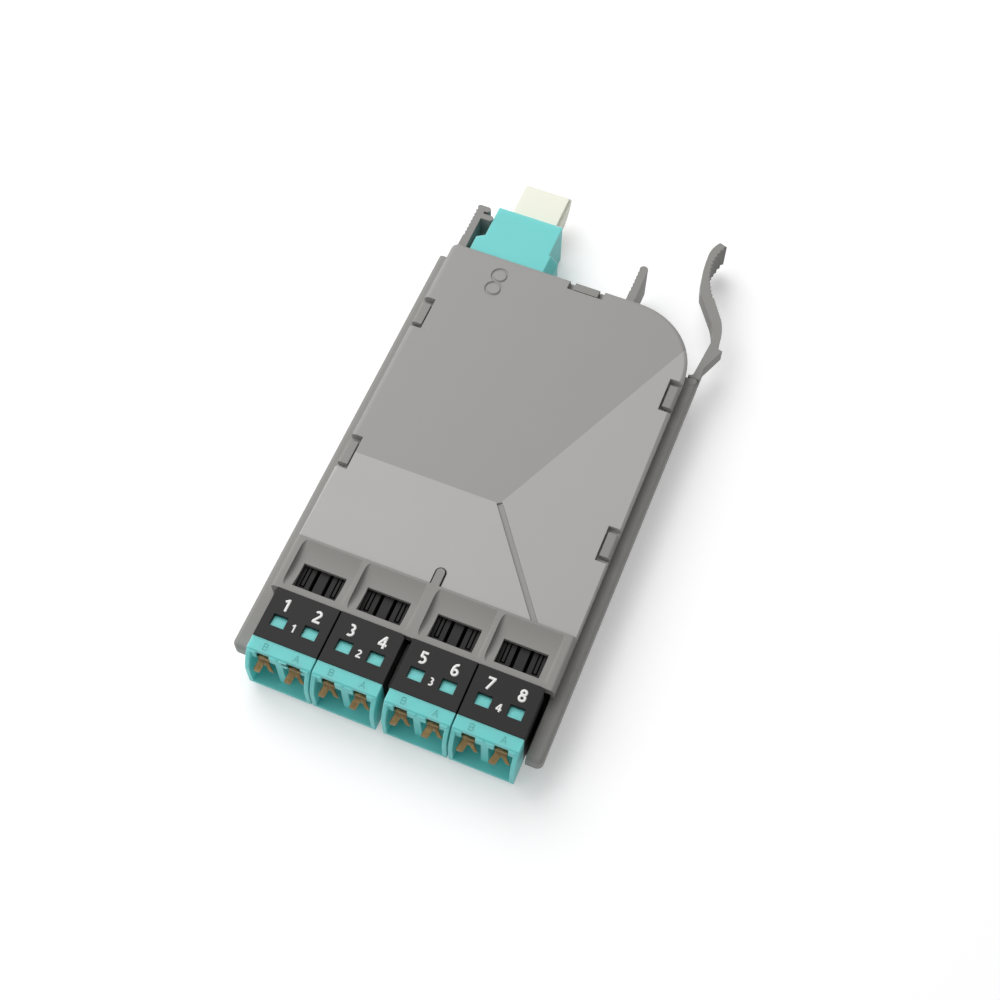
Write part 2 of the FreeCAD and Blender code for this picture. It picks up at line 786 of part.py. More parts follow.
def make_adapter(index):
    """A duplex port adapter: nose, two port cavities, sleeve holders and shutter sockets."""
    body = piece("port_adapter_%d" % index)
    nose = [
        ("0", "floor_thick"),
        ("0", "nose_top"),
        ("-nose_flat", "nose_top"),
        ("-nose_lip_y", "nose_lip_z"),
        ("-nose_front", "nose_foot", "nose_curve"),
        ("-nose_front", "floor_thick"),
    ]
    extrude(body, "side", "-adapter_width / 2", "adapter_width", [nose])
    inner = "(adapter_width / 2 - cap_side - fit_gap)"
    roof = "cap_top - cap_thick - fit_gap"
    block(body, "-" + inner, inner, "0", "adapter_back", "floor_thick", roof)
    for sign in ("-", "+"):
        centre = "%s port_pitch / 2" % sign
        left, right = across(centre, "port_width / 2")
        pad_left, pad_right = across(centre, "cap_window_width / 2 - cover_gap")
        pad_back = "cap_window_front + cap_window_length - cover_gap"
        pad = [
            ("cap_window_front + cover_gap", roof + " - root_depth"),
            (pad_back, roof + " - root_depth"),
            (pad_back, "cap_top - pad_sink_back"),
            ("cap_window_front + cover_gap", "cap_top - pad_sink_front"),
        ]
        extrude(body, "side", pad_left, "%s - (%s)" % (pad_right, pad_left), [pad])
        block(body, left, right, "-nose_front - cut_past", "holder_front", "port_base", "port_top", cut=True)
        block(body, left, right, "holder_front + holder_thick", "adapter_back + cut_past", "port_base", "port_top",
              cut=True)
        tube_left, tube_right = across(centre, "tube_half")
        block(body, tube_left, tube_right, "tube_front", "tube_back", "port_axis - tube_half", "port_axis + tube_half")
        extrude(body, "back", "tube_front - cut_past", "tube_back - tube_front + 2 * cut_past",
                [(centre, "port_axis", "sleeve_radius + slip_gap")], cut=True)
        socket_left, socket_right = across(centre, "port_width / 2 + shutter_pin_reach")
        pin = "(shutter_pin + slip_gap)"
        block(body, socket_left, socket_right, "shutter_axis_y - " + pin, "shutter_axis_y + " + pin,
              "shutter_axis_z - " + pin, "shutter_axis_z + " + pin, cut=True)
    place(body, adapter_side(index))
    return body


def make_cap(index):
    """The black cap over an adapter; the right one of each pair has a rounded rear corner."""
    body = piece("port_cap_%d" % index)
    half = "adapter_width / 2"
    roof = [("-" + half, "cover_gap"), (half, "cover_gap")]
    if index % 2:
        roof += [(half, "cap_length")]
    else:
        roof += [(half, "cap_length - cap_corner"), (half + " - cap_corner", "cap_length", "cap_corner")]
    roof += [("-" + half, "cap_length")]
    base = "floor_thick + cover_gap"
    extrude(body, "up", base, "cap_top - (%s)" % base, [roof])
    inner = "(adapter_width / 2 - cap_side)"
    block(body, "-" + inner, inner, "-cut_past", "cap_length + cut_past", "0", "cap_top - cap_thick", cut=True)
    rib = "cap_rib_width / 2"
    block(body, "-" + rib, rib, "adapter_back + fit_gap", "cap_length", "cap_rib_bottom", "cap_top - cap_thick / 2")
    block(body, "-" + rib, rib, "cap_length - root_depth", "cap_rib_back", "cap_rib_bottom", "cap_rib_top")
    for sign in ("-", "+"):
        left, right = across("%s port_pitch / 2" % sign, "cap_window_width / 2")
        block(body, left, right, "cap_window_front", "cap_window_front + cap_window_length",
              "cap_top - cap_thick - cut_past", "cap_top + cut_past", cut=True)
    place(body, adapter_side(index))
    return body


def make_shutter(port):
    """A spring-steel shutter, drawn from its hinge axis down: pin, plate, fold and prongs."""
    body = piece("port_shutter_%d" % port)
    pin_half = "(port_width / 2 + shutter_pin_reach - slip_gap)"
    extrude(body, "side", "-" + pin_half, "2 * " + pin_half, [("0", "0", "shutter_pin")])
    plate = "shutter_plate / 2"
    prong = "shutter_prong"
    wide = "(port_width / 2 - shutter_gap)"
    leaf = [
        ("-" + plate, "0"),
        ("-" + plate, "-shutter_plate_drop"),
        ("-" + wide, "-shutter_drop + " + prong),
        ("-%s + %s" % (wide, prong), "-shutter_drop"),
        ("0", "-shutter_plate_drop - " + prong),
        ("%s - %s" % (wide, prong), "-shutter_drop"),
        (wide, "-shutter_drop + " + prong),
        (plate, "-shutter_plate_drop"),
        (plate, "0"),
    ]
    extrude(body, "back", "-shutter_leaf / 2", "shutter_leaf", [leaf])
    fold = [
        ("0", "-shutter_fold_drop - shutter_fold"),
        ("0", "-shutter_fold_drop + shutter_fold"),
        ("-shutter_leaf / 2 - shutter_fold", "-shutter_fold_drop"),
    ]
    extrude(body, "side", "-" + plate, "shutter_plate", [fold])
    place(body, port_side(port), "shutter_axis_y - origin_back", "shutter_axis_z", -number("shutter_lean"))
    return body


def make_sleeve(port):
    """The ceramic alignment sleeve in the adapter's web."""
    body = piece("alignment_sleeve_%d" % port)
    extrude(body, "back", "0", "sleeve_length", [("0", "0", "sleeve_radius"), ("0", "0", "sleeve_bore")])
    middle = "holder_front + holder_thick / 2 - sleeve_length / 2"
    place(body, port_side(port), middle + " - origin_back", "port_axis")
    return body


def make_ferrule(port):
    """The ceramic ferrule between the inner connector and the middle of the sleeve."""
    body = piece("ferrule_%d" % port)
    extrude(body, "back", "0", "plug_recess_back - ferrule_front", [("0", "0", "ferrule_radius")])
    place(body, port_side(port), "ferrule_front - origin_back", "port_axis")
    return body


def make_plug(port):
    """An inner connector with its latch arm, a recess round the ferrule and a tapered boot."""
    body = piece("inner_connector_%d" % port)
    half = "plug_width / 2"
    top = "port_axis + " + half
    block(body, "-" + half, half, "plug_front", "plug_back", "port_axis - " + half, top)
    arm = [
        ("arm_front", top + " - arm_sunk"),
        ("arm_front + arm_foot", top + " - arm_sunk"),
        ("arm_front + arm_foot", top),
        ("arm_pad_front + arm_foot", "arm_top - arm_pad"),
        ("arm_back", "arm_top - arm_pad"),
        ("arm_back", "arm_top"),
        ("arm_pad_front", "arm_top"),
        ("arm_front", top),
    ]
    extrude(body, "side", "-arm_width / 2", "arm_width", [arm])
    inner = "groove_tongue / 2"
    outer = "groove_tongue / 2 + groove_width"
    slot = [
        ("-(%s)" % outer, "groove_front"),
        (outer, "groove_front"),
        (outer, "arm_back + cut_past"),
        (inner, "arm_back + cut_past"),
        (inner, "groove_front + groove_width"),
        ("-" + inner, "groove_front + groove_width"),
        ("-" + inner, "arm_back + cut_past"),
        ("-(%s)" % outer, "arm_back + cut_past"),
    ]
    extrude(body, "up", "arm_top - groove_depth", "groove_depth + cut_past", [slot], cut=True)
    block(body, "-plug_recess", "plug_recess", "plug_front - cut_past", "plug_recess_back",
          "port_axis - plug_recess", "port_axis + plug_recess", cut=True)
    boot = [
        ("plug_back - root_depth", "port_axis - boot_root"),
        ("plug_back", "port_axis - boot_root"),
        ("plug_back + boot_length", "port_axis - boot_tip"),
        ("plug_back + boot_length", "port_axis + boot_tip"),
        ("plug_back", "port_axis + boot_root"),
        ("plug_back - root_depth", "port_axis + boot_root"),
    ]
    extrude(body, "side", "-boot_root", "2 * boot_root", [boot])
    place(body, port_side(port))
    return body


def fibre_path(port):
    """The bent route of one fibre from its connector's boot to the fan-out block."""
    level = number("port_axis")
    start = number(port_side(port))
    end = number("rear_side + (%g) * fibre_pitch" % (port - (FIBRES + 1) / 2))
    return [
        Vector(start, number("plug_back + boot_length"), level),
        Vector(start, number("fibre_bend_front"), level),
        Vector(end, number("fibre_bend_back"), level),
        Vector(end, number("fan_front"), level),
    ]


def round_route(points):
    """Straight runs joined by tangent arcs, each as large as its two runs allow."""
    edges = []
    start = points[0]
    for before, corner, after in zip(points, points[1:], points[2:]):
        into = (corner - before).normalize()
        out = (after - corner).normalize()
        half_turn = into.getAngle(out) / 2
        setback = number("fibre_bend_share") * min((corner - before).Length, (after - corner).Length)
        radius = setback / math.tan(half_turn)
        first = corner - into * setback
        last = corner + out * setback
        inward = (out - into).normalize()
        crown = corner + inward * (radius / math.cos(half_turn) - radius)
        edges.append(Part.LineSegment(start, first).toShape())
        edges.append(Part.Arc(first, crown, last).toShape())
        print("fibre bend radius %.1f mm" % radius)
        start = last
    edges.append(Part.LineSegment(start, points[-1]).toShape())
    return Part.Wire(edges)


def make_fibre(port):
    """One fibre of the fan-out, swept whole along its route; six flats stand for the round."""
    path = round_route(fibre_path(port))
    start = path.Vertexes[0].Point
    radius = number("fibre_radius")
    corners = []
    for corner in range(FIBRE_SIDES + 1):
        angle = 2 * math.pi * corner / FIBRE_SIDES
        corners.append(start + Vector(radius * math.cos(angle), 0, radius * math.sin(angle)))
    solid = path.makePipeShell([Part.makePolygon(corners)], True, True)
    feature = doc.addObject("Part::Feature", "fibre_%d" % port)
    feature.Label = "fibre_%d" % port
    feature.Shape = solid
    feature.Placement = Placement(Vector(0, -number("origin_back"), 0), Rotation())
    return feature


def make_fan():
    """The block on the tray floor where the ribbon parts into the fibres."""
    body = piece("fan_out_block")
    left, right = across("rear_side", "fan_width / 2")
    block(body, left, right, "fan_front", "fan_front + fan_length", "floor_thick", "fan_top")
    soften(body, "fan_chamfer", upright_edge, "Chamfer")
    place(body)
    return body


def make_ribbon():
    """The flat ribbon between the fan-out block and the trunk plug."""
    body = piece("fibre_ribbon")
    left, right = across("rear_side", "ribbon_width / 2")
    block(body, left, right, "fan_front + fan_length", "trunk_plug_front",
          "rear_axis - ribbon_thick / 2", "rear_axis + ribbon_thick / 2")
    place(body)
    return body


def make_trunk_plug():
    """The multi-fibre plug inside the cassette, seated in the rear adapter."""
    body = piece("trunk_plug")
    left, right = across("rear_side", "trunk_plug_width / 2")
    low, high = across("rear_axis", "trunk_plug_height / 2")
    start = "trunk_plug_front + trunk_collar"
    end = "rear_web_front - fit_gap"
    block(body, left, right, start, end, low, high)
    length = number("%s - (%s)" % (end, start))
    soften(body, "trunk_chamfer", lambda edge: near(edge.BoundBox.YLength, length), "Chamfer")
    left, right = across("rear_side", "trunk_collar_width / 2")
    low, high = across("rear_axis", "trunk_collar_height / 2")
    block(body, left, right, "trunk_plug_front", start, low, high)
    place(body)
    return body


def make_rear_adapter():
    """The multi-fibre adapter: neck in the rear wall, flange, body, and a bore from each end."""
    body = piece("rear_adapter")
    left, right = across("rear_side", "rear_neck_width / 2")
    block(body, left, right, "rear_neck_front", "rear_start + root_depth", "rear_neck_floor", "rear_neck_top")
    left, right = across("rear_side", "rear_width / 2")
    flange_left = "rear_side - flange_left"
    flange_right = "rear_side + flange_right"
    flange = [
        (flange_left, "rear_start"),
        (flange_right, "rear_start"),
        (flange_right, "flange_back"),
        (left, "flange_back"),
        (flange_left, "flange_back - flange_cut"),
    ]
    extrude(body, "up", "rear_bottom", "rear_top - rear_bottom", [flange])
    block(body, left, right, "flange_back - root_depth", "rear_back", "rear_bottom", "rear_top")
    slope = [
        (flange_right + " + cut_past", "rear_top + cut_past"),
        (flange_right + " - flange_slope", "rear_top + cut_past"),
        (flange_right + " - flange_slope", "rear_top"),
        (flange_right, "rear_top - flange_drop"),
        (flange_right + " + cut_past", "rear_top - flange_drop"),
    ]
    extrude(body, "back", "body_back", "flange_back - body_back", [slope], cut=True)
    left, right = across("rear_side", "trunk_plug_width / 2 + fit_gap")
    low, high = across("rear_axis", "trunk_plug_height / 2 + fit_gap")
    block(body, left, right, "rear_neck_front - cut_past", "rear_web_front", low, high, cut=True)
    left, right = across("rear_side", "dust_width / 2 + dust_gap")
    low, high = across("rear_axis", "dust_height / 2 + dust_gap")
    block(body, left, right, "rear_web_front + rear_web_thick", "rear_back + cut_past", low, high, cut=True)
    left, right = across("rear_side", "rear_bore_width / 2")
    low, high = across("rear_axis", "rear_bore_height / 2")
    block(body, left, right, "rear_web_front - cut_past", "rear_web_front + rear_web_thick + cut_past", low, high,
          cut=True)
    place(body)
    return body


def make_dust_cap():
    """The pull-out dust cap: a block with a rounded heel, and a thicker cheek on each side."""
    body = piece("dust_cap")
    low, high = across("rear_axis", "dust_height / 2")
    front = "rear_web_front + rear_web_thick + dust_front_gap"
    ledge = "(%s) - dust_toe" % high
    heel = [("dust_back - dust_heel", low), ("dust_back", ledge, "dust_heel_round")]
    toe = [("dust_back - dust_toe", high, "dust_toe_round")]
    profile = [(front, low)] + heel + toe + [(front, high)]
    extrude(body, "side", "rear_side - dust_width / 2", "dust_width", [profile])
    cheek_front = "rear_back + dust_gap"
    cheek = [(cheek_front, low)] + heel + [(cheek_front, ledge)]
    extrude(body, "side", "rear_side - dust_width / 2 - dust_cheek", "dust_width + 2 * dust_cheek", [cheek])
    place(body)
    return body


# The lever's edge seen from above, anticlockwise: x and y from the pivot and, where it is an
# arc, its radius. LEVER_RAMP comes first, then the outer edge with its toothed hollow up to
# the tip, and the inner edge back to the crotch beside the tray.
LEVER_WAIST = (0.84, 16.5, 14.0)
LEVER_HOLLOW = ((-2.36, 21.4), (-5.36, 30.0, -15.7), (-4.01, 35.3, -12.0))
LEVER_INNER = ((-5.7, 35.85), (-6.96, 31.0, 7.0), (-5.36, 21.5, 30.0), (-1.36, 15.8), (0.6, 11.0, -11.8), (-0.26, 2.1))
LEVER_STEP = (2.25, 9.6)


def lever_loop():
    """The lever's outline from above, measured from its pivot, from its neck round the outer edge."""
    drawn = [tuple("%g" % value for value in corner) for corner in (LEVER_STEP, LEVER_WAIST) + LEVER_HOLLOW + LEVER_INNER]
    ramp = [
        ("-neck_half", "0"),
        ("neck_half", "0"),
        ("neck_half", "shoulder_front"),
        ("lever_half", "shoulder_front"),
        ("lever_half", "ramp_front"),
        ("ramp_reach", "ramp_back"),
    ]
    crotch = [
        ("fit_gap - lever_half", "crotch_front", "-crotch_round"),
        ("fit_gap - lever_half", "shoulder_front"),
        ("-neck_half", "shoulder_front"),
    ]
    return ramp + drawn + crotch


def hollow_teeth():
    """The loops that cut the teeth into the two arcs of the lever's hollow."""
    loops = []
    depth = number("tooth_depth")
    for start, arc in zip(LEVER_HOLLOW, LEVER_HOLLOW[1:]):
        first = Vector(start[0], start[1], 0)
        last = Vector(arc[0], arc[1], 0)
        centre = arc_edge(first, last, arc[2])[1]
        turn = (first - centre).getAngle(last - centre)
        count = max(1, round(turn * abs(arc[2]) / number("tooth_pitch")))
        loop = []
        for tooth in range(2 * count + 1):
            reach = abs(arc[2]) + (depth if tooth % 2 else 0)
            spin = Rotation(Vector(0, 0, 1), -math.degrees(turn * tooth / count / 2))
            loop.append(centre + spin.multVec(first - centre).normalize() * reach)
        inside = number("cut_past")
        loop.append(last + (centre - last).normalize() * inside)
        loop.append(first + (centre - first).normalize() * inside)
        loops.append([("%.4f" % spot.x, "%.4f" % spot.y) for spot in loop])
    return loops


def make_lever():
    """The squeeze lever: round root in the rail's socket, latch ramp, waist and toothed grip."""
    body = piece("latch_lever")
    extrude(body, "up", "rail_bottom", "rail_thick", [("0", "0", "pivot_radius")])
    extrude(body, "up", "grip_low", "grip_height", [lever_loop()])
    back = "%g + cut_past" % LEVER_INNER[0][1]
    under = [
        ("-pivot_radius - cut_past", "grip_low - cut_past"),
        (back, "grip_low - cut_past"),
        (back, "rail_top - tip_height"),
        ("tip_front", "grip_low"),
        ("grip_deep", "grip_low"),
        ("grip_front", "rail_bottom"),
        ("-pivot_radius - cut_past", "rail_bottom"),
    ]
    extrude(body, "side", "-grip_front", "2 * grip_front", [under], cut=True)
    for loop in hollow_teeth():
        extrude(body, "up", "grip_low - cut_past", "grip_height + 2 * cut_past", [loop], cut=True)
    place(body, "pivot_side", "pivot_back - origin_back")
    return body


def build():
    """Make every piece of the cassette."""
    pieces = [make_base(), make_cover()]
    pieces += [make_adapter(index) for index in range(1, 5)]
    pieces += [make_cap(index) for index in range(1, 5)]
    for port in range(1, FIBRES + 1):
        pieces += [make_shutter(port), make_sleeve(port), make_ferrule(port), make_plug(port), make_fibre(port)]
    pieces += [make_fan(), make_ribbon(), make_trunk_plug(), make_rear_adapter(), make_dust_cap(), make_lever()]
    doc.recompute()
    return pieces


def write(pieces):
    """Check every object of the document and write one file for each piece."""
    for item in doc.Objects:
        if {"Invalid", "Error"} & set(item.State):
            raise RuntimeError("%s did not recompute: %s" % (item.Label, item.State))
    os.makedirs("parts", exist_ok=True)
    for item in pieces:
        if item.Shape.isNull() or not item.Shape.isValid():
            raise RuntimeError("%s has no valid shape" % item.Label)
        item.Shape.exportStep("parts/%s.step" % item.Label)
        print(item.Label, len(item.Shape.Solids), "solid, %.1f mm3" % item.Shape.Volume)


write(build())
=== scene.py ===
# %% [markdown]
# A fibre cassette, dressed for the camera.
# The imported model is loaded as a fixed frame: every rigid piece already stands in its place,
# in metres. This lesson gives each piece its finish, cuts the finer forms, adds what is
# printed or engraved, and sets up a plain studio. Sizes are written in millimetres and
# multiplied by MM.

# %% Load the frame
import math

import bmesh
import bpy
from mathutils import Matrix, Quaternion, Vector


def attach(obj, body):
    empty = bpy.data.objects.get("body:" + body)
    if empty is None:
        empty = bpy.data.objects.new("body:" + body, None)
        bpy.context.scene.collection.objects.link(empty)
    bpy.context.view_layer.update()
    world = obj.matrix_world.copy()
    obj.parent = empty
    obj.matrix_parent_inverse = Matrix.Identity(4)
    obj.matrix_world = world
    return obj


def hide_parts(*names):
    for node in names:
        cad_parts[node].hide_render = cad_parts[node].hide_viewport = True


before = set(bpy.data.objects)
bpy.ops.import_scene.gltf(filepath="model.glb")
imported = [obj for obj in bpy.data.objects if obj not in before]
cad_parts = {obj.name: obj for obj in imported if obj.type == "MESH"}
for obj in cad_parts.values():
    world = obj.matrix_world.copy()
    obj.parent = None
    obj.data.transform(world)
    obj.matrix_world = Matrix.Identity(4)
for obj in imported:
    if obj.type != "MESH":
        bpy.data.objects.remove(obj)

scene = bpy.context.scene
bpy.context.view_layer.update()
MM = 0.001

# %% [markdown]
# The camera stands high in front and to the right of the ports, as a product photographer
# holds it, and looks nearly at the middle of the tray. A slight roll follows the photograph.
# The lens comes from the same fit: a square frame 36 mm wide, seen through 53.9 mm.

# %% Camera
CAMERA_PLACE = Vector((55.07, -134.15, 262.48)) * MM
CAMERA_AIM = Vector((1.99, 0.15, 0.0)) * MM
CAMERA_ROLL = math.radians(0.64)
LENS_MM = 53.9
SENSOR_MM = 36.0

lens = bpy.data.cameras.new("camera")
lens.lens = LENS_MM
lens.sensor_width = SENSOR_MM
lens.clip_start = 0.01
camera = bpy.data.objects.new("camera", lens)
scene.collection.objects.link(camera)
facing = (CAMERA_AIM - CAMERA_PLACE).to_track_quat("-Z", "Y")
turn = facing @ Quaternion((0, 0, 1), CAMERA_ROLL)
camera.matrix_world = Matrix.LocRotScale(CAMERA_PLACE, turn, None)
scene.camera = camera
print("camera distance %.0f mm" % ((CAMERA_AIM - CAMERA_PLACE).length / MM))

# %% [markdown]
# Three helpers serve every material. Colours are written as sRGB hex, as a paint chart
# gives them, and Blender wants them linear. The second adds a node with its values and its
# links, so that a material reads from top to bottom like a recipe. The third starts one.

# %% Helpers for colours and nodes
def linear(hex_code):
    """A colour written as sRGB hex, as Blender's linear colour."""
    parts = [int(hex_code[index:index + 2], 16) / 255 for index in (1, 3, 5)]
    return [part / 12.92 if part <= 0.04045 else ((part + 0.055) / 1.055) ** 2.4
            for part in parts] + [1.0]


def add(tree, kind, settings=None, links=None):
    """Add a node, set its fields or sockets, and link sockets from (node, output) pairs."""
    made = tree.nodes.new(kind)
    for name, value in (settings or {}).items():
        if isinstance(name, int) or name in made.inputs:
            made.inputs[name].default_value = value
        else:
            setattr(made, name, value)
    for name, (source, output) in (links or {}).items():
        tree.links.new(source.outputs[output], made.inputs[name])
    return made


def blank(name):
    """A new material and its node tree, emptied."""
    material = bpy.data.materials.new(name)
    material.use_nodes = True
    material.node_tree.nodes.clear()
    return material, material.node_tree


print("grey card", [round(part, 3) for part in linear("#808080")[:3]])

# %% [markdown]
# The studio is a sheet of white paper under soft light. A wide key lamp above, behind and to
# the left keeps the top faces even. A weaker one at the left opens up the port mouths in
# front. The right-hand sides get neither, so they stay darker, which shows the form. The
# paper prints white through a faint light of its own, which only the camera and mirror-like
# surfaces see, so it still takes the cassette's soft shadow.

# %% Floor
FLOOR_SIZE = 4.0
FLOOR_GLOW = 0.3


def white_table():
    """Matt white paper with a slight glow for the camera, so that it prints white."""
    material, tree = blank("white_paper")
    paper = add(tree, "ShaderNodeBsdfDiffuse", {"Color": linear("#f4f4f5")})
    glow = add(tree, "ShaderNodeEmission", {"Color": linear("#ffffff"), "Strength": FLOOR_GLOW})
    both = add(tree, "ShaderNodeAddShader", links={0: (paper, "BSDF"), 1: (glow, "Emission")})
    ray = add(tree, "ShaderNodeLightPath")
    seen = add(tree, "ShaderNodeMath", {"operation": "MAXIMUM"},
               {0: (ray, "Is Camera Ray"), 1: (ray, "Is Glossy Ray")})
    mix = add(tree, "ShaderNodeMixShader",
              links={0: (seen, "Value"), 1: (paper, "BSDF"), 2: (both, "Shader")})
    add(tree, "ShaderNodeOutputMaterial", links={"Surface": (mix, "Shader")})
    return material


bpy.ops.mesh.primitive_plane_add(size=FLOOR_SIZE)
floor = bpy.context.object
floor.name = "floor"
floor.data.materials.append(white_table())
print("floor", FLOOR_SIZE, "m wide")

# %% Lamps and world
WORLD_LEVEL = 0.3


def soft_lamp(name, place, size, power):
    """A square area lamp that faces the cassette."""
    lamp = bpy.data.lights.new(name, "AREA")
    lamp.size = size
    lamp.energy = power
    stand = bpy.data.objects.new(name, lamp)
    scene.collection.objects.link(stand)
    place = Vector(place)
    turn = (Vector((0, 0, 0)) - place).to_track_quat("-Z", "Y")
    stand.matrix_world = Matrix.LocRotScale(place, turn, None)


soft_lamp("key", (-0.5, 0.42, 0.75), 0.9, 7.3)
soft_lamp("front_fill", (-0.6, -0.5, 0.6), 0.8, 2.2)

world = bpy.data.worlds.new("studio")
scene.world = world
world.use_nodes = True
background = world.node_tree.nodes["Background"]
background.inputs["Color"].default_value = linear("#ffffff")
background.inputs["Strength"].default_value = WORLD_LEVEL
scene.view_settings.view_transform = "Standard"
print("world level", WORLD_LEVEL)

# %% [markdown]
# Nearly every piece is injection-moulded plastic. Its steel mould was spark eroded, which
# leaves a fine grain that softens the shine. One recipe makes them all: a base colour, a
# slow drift of tone from the flow of the plastic, and a fine bump at a real grain size in
# millimetres. A Bevel node catches light on the edges, as a mould's radius does. Such grain
# is usually finer than a tenth of a millimetre; it is drawn coarser, or it wouldn't show.

# %% Moulded plastics
DRIFT_MM = 9.0
GLOW_MM = 2.0
EDGE_MM = 0.15
EDGE_SAMPLES = 4


def grain_bump(tree, place, grain_mm, depth_mm, edge_mm, strength=0.35):
    """A normal with fine grain on it, rounded at the edges."""
    grain = add(tree, "ShaderNodeTexNoise", {"Scale": 1 / (grain_mm * MM), "Detail": 2.0},
                {"Vector": (place, "Object")})
    edge = add(tree, "ShaderNodeBevel", {"samples": EDGE_SAMPLES, "Radius": edge_mm * MM})
    return add(tree, "ShaderNodeBump", {"Strength": strength, "Distance": depth_mm * MM},
               {"Height": (grain, "Fac"), "Normal": (edge, "Normal")})


def drifting(tree, place, hex_code, drift):
    """A colour that drifts a little paler and darker over the piece."""
    cloud = add(tree, "ShaderNodeTexNoise", {"Scale": 1 / (DRIFT_MM * MM), "Detail": 3.0},
                {"Vector": (place, "Object")})
    base = linear(hex_code)
    tone = add(tree, "ShaderNodeMix", {"data_type": "RGBA"}, {0: (cloud, "Fac")})
    tone.inputs[6].default_value = [part * (1 - drift) for part in base[:3]] + [1.0]
    tone.inputs[7].default_value = [part * (1 + drift) for part in base[:3]] + [1.0]
    return tone


def moulded(name, hex_code, roughness=0.5, grain_mm=0.25, depth_mm=0.004, drift=0.03,
            edge_mm=EDGE_MM, shine=0.4, depth_glow=0.0):
    """A moulded plastic with fine grain and soft edges; depth_glow lets light through."""
    material, tree = blank(name)
    place = add(tree, "ShaderNodeTexCoord")
    tone = drifting(tree, place, hex_code, drift)
    bump = grain_bump(tree, place, grain_mm, depth_mm, edge_mm)
    shade = add(tree, "ShaderNodeBsdfPrincipled",
                {"Roughness": roughness, "IOR": 1.5, "Specular IOR Level": shine,
                 "Subsurface Weight": depth_glow, "Subsurface Radius": (1.0, 1.0, 1.0),
                 "Subsurface Scale": GLOW_MM * MM},
                {"Base Color": (tone, 2), "Normal": (bump, "Normal")})
    add(tree, "ShaderNodeOutputMaterial", links={"Surface": (shade, "BSDF")})
    return material


tray_plastic = moulded("grey_polycarbonate", "#959491", 0.55, depth_mm=0.006)
aqua_plastic = moulded("aqua_polycarbonate", "#7addda", 0.5, drift=0.02, depth_glow=0.6)
black_plastic = moulded("black_polycarbonate", "#2f2e2e", 0.55, shine=0.22)
inner_plastic = moulded("black_nylon", "#2b2a2a", 0.55, shine=0.22)
cream_plastic = moulded("cream_polyethylene", "#ffffec", 0.5, drift=0.01, depth_glow=0.3)
ceramic = moulded("white_zirconia", "#efeee8", 0.2, grain_mm=0.5, depth_mm=0.001)
jacket = moulded("aqua_jacket", "#5fc4c0", 0.5)
print("plastics", len(bpy.data.materials))

# %% [markdown]
# The cover is one moulding with three facets. Its main face was polished. The facet on
# the right is polished too; its slight slope catches more light, and this is painted into
# its colour as a paler tone. The facet in front was textured, and sparkles; it is painted
# paler in the same way. Straight fold lines part the three, so the material asks on which
# side of each line a point lies: the dot product of the place with the line's normal. The
# trench along the fold between the right and the front facet is painted darker: painted
# shade in the groove.

# %% Cover with three facets
FOLD = (4.7, -6.8)
REACH = (26.0, 40.2)
TRENCH = (20.6, -28.15)
TRENCH_HALF_MM = 0.62
SPARKLE_MM = 0.4
SPARKLE_DEEP_MM = 0.03


def right_of(tree, place, start, end):
    """A mask that is 1 to the right of the way from start to end, and 0 to its left."""
    along = (Vector(end) - Vector(start)).normalized()
    normal = Vector((along.y, -along.x, 0))
    offset = normal.dot(Vector((start[0], start[1], 0))) * MM
    reach = add(tree, "ShaderNodeVectorMath", {"operation": "DOT_PRODUCT", 1: normal},
                {0: (place, "Object")})
    return add(tree, "ShaderNodeMath", {"operation": "GREATER_THAN", 1: offset},
               {0: (reach, "Value")})


def beside(start, end, gap):
    """The way from start to end, moved to its left by a gap."""
    along = (Vector(end) - Vector(start)).normalized()
    aside = Vector((-along.y, along.x)) * gap
    return tuple(Vector(start) + aside), tuple(Vector(end) + aside)


def overlap(tree, first, second):
    """A mask that is 1 where both of two masks are."""
    return add(tree, "ShaderNodeMath", {"operation": "MULTIPLY"},
               {0: (first, "Value"), 1: (second, "Value")})


def layered(tree, mask, under, over):
    """One colour, with another over it where the mask is 1."""
    return add(tree, "ShaderNodeMix", {"data_type": "RGBA"},
               {0: (mask, "Value"), 6: (under, 2), 7: (over, 2)})


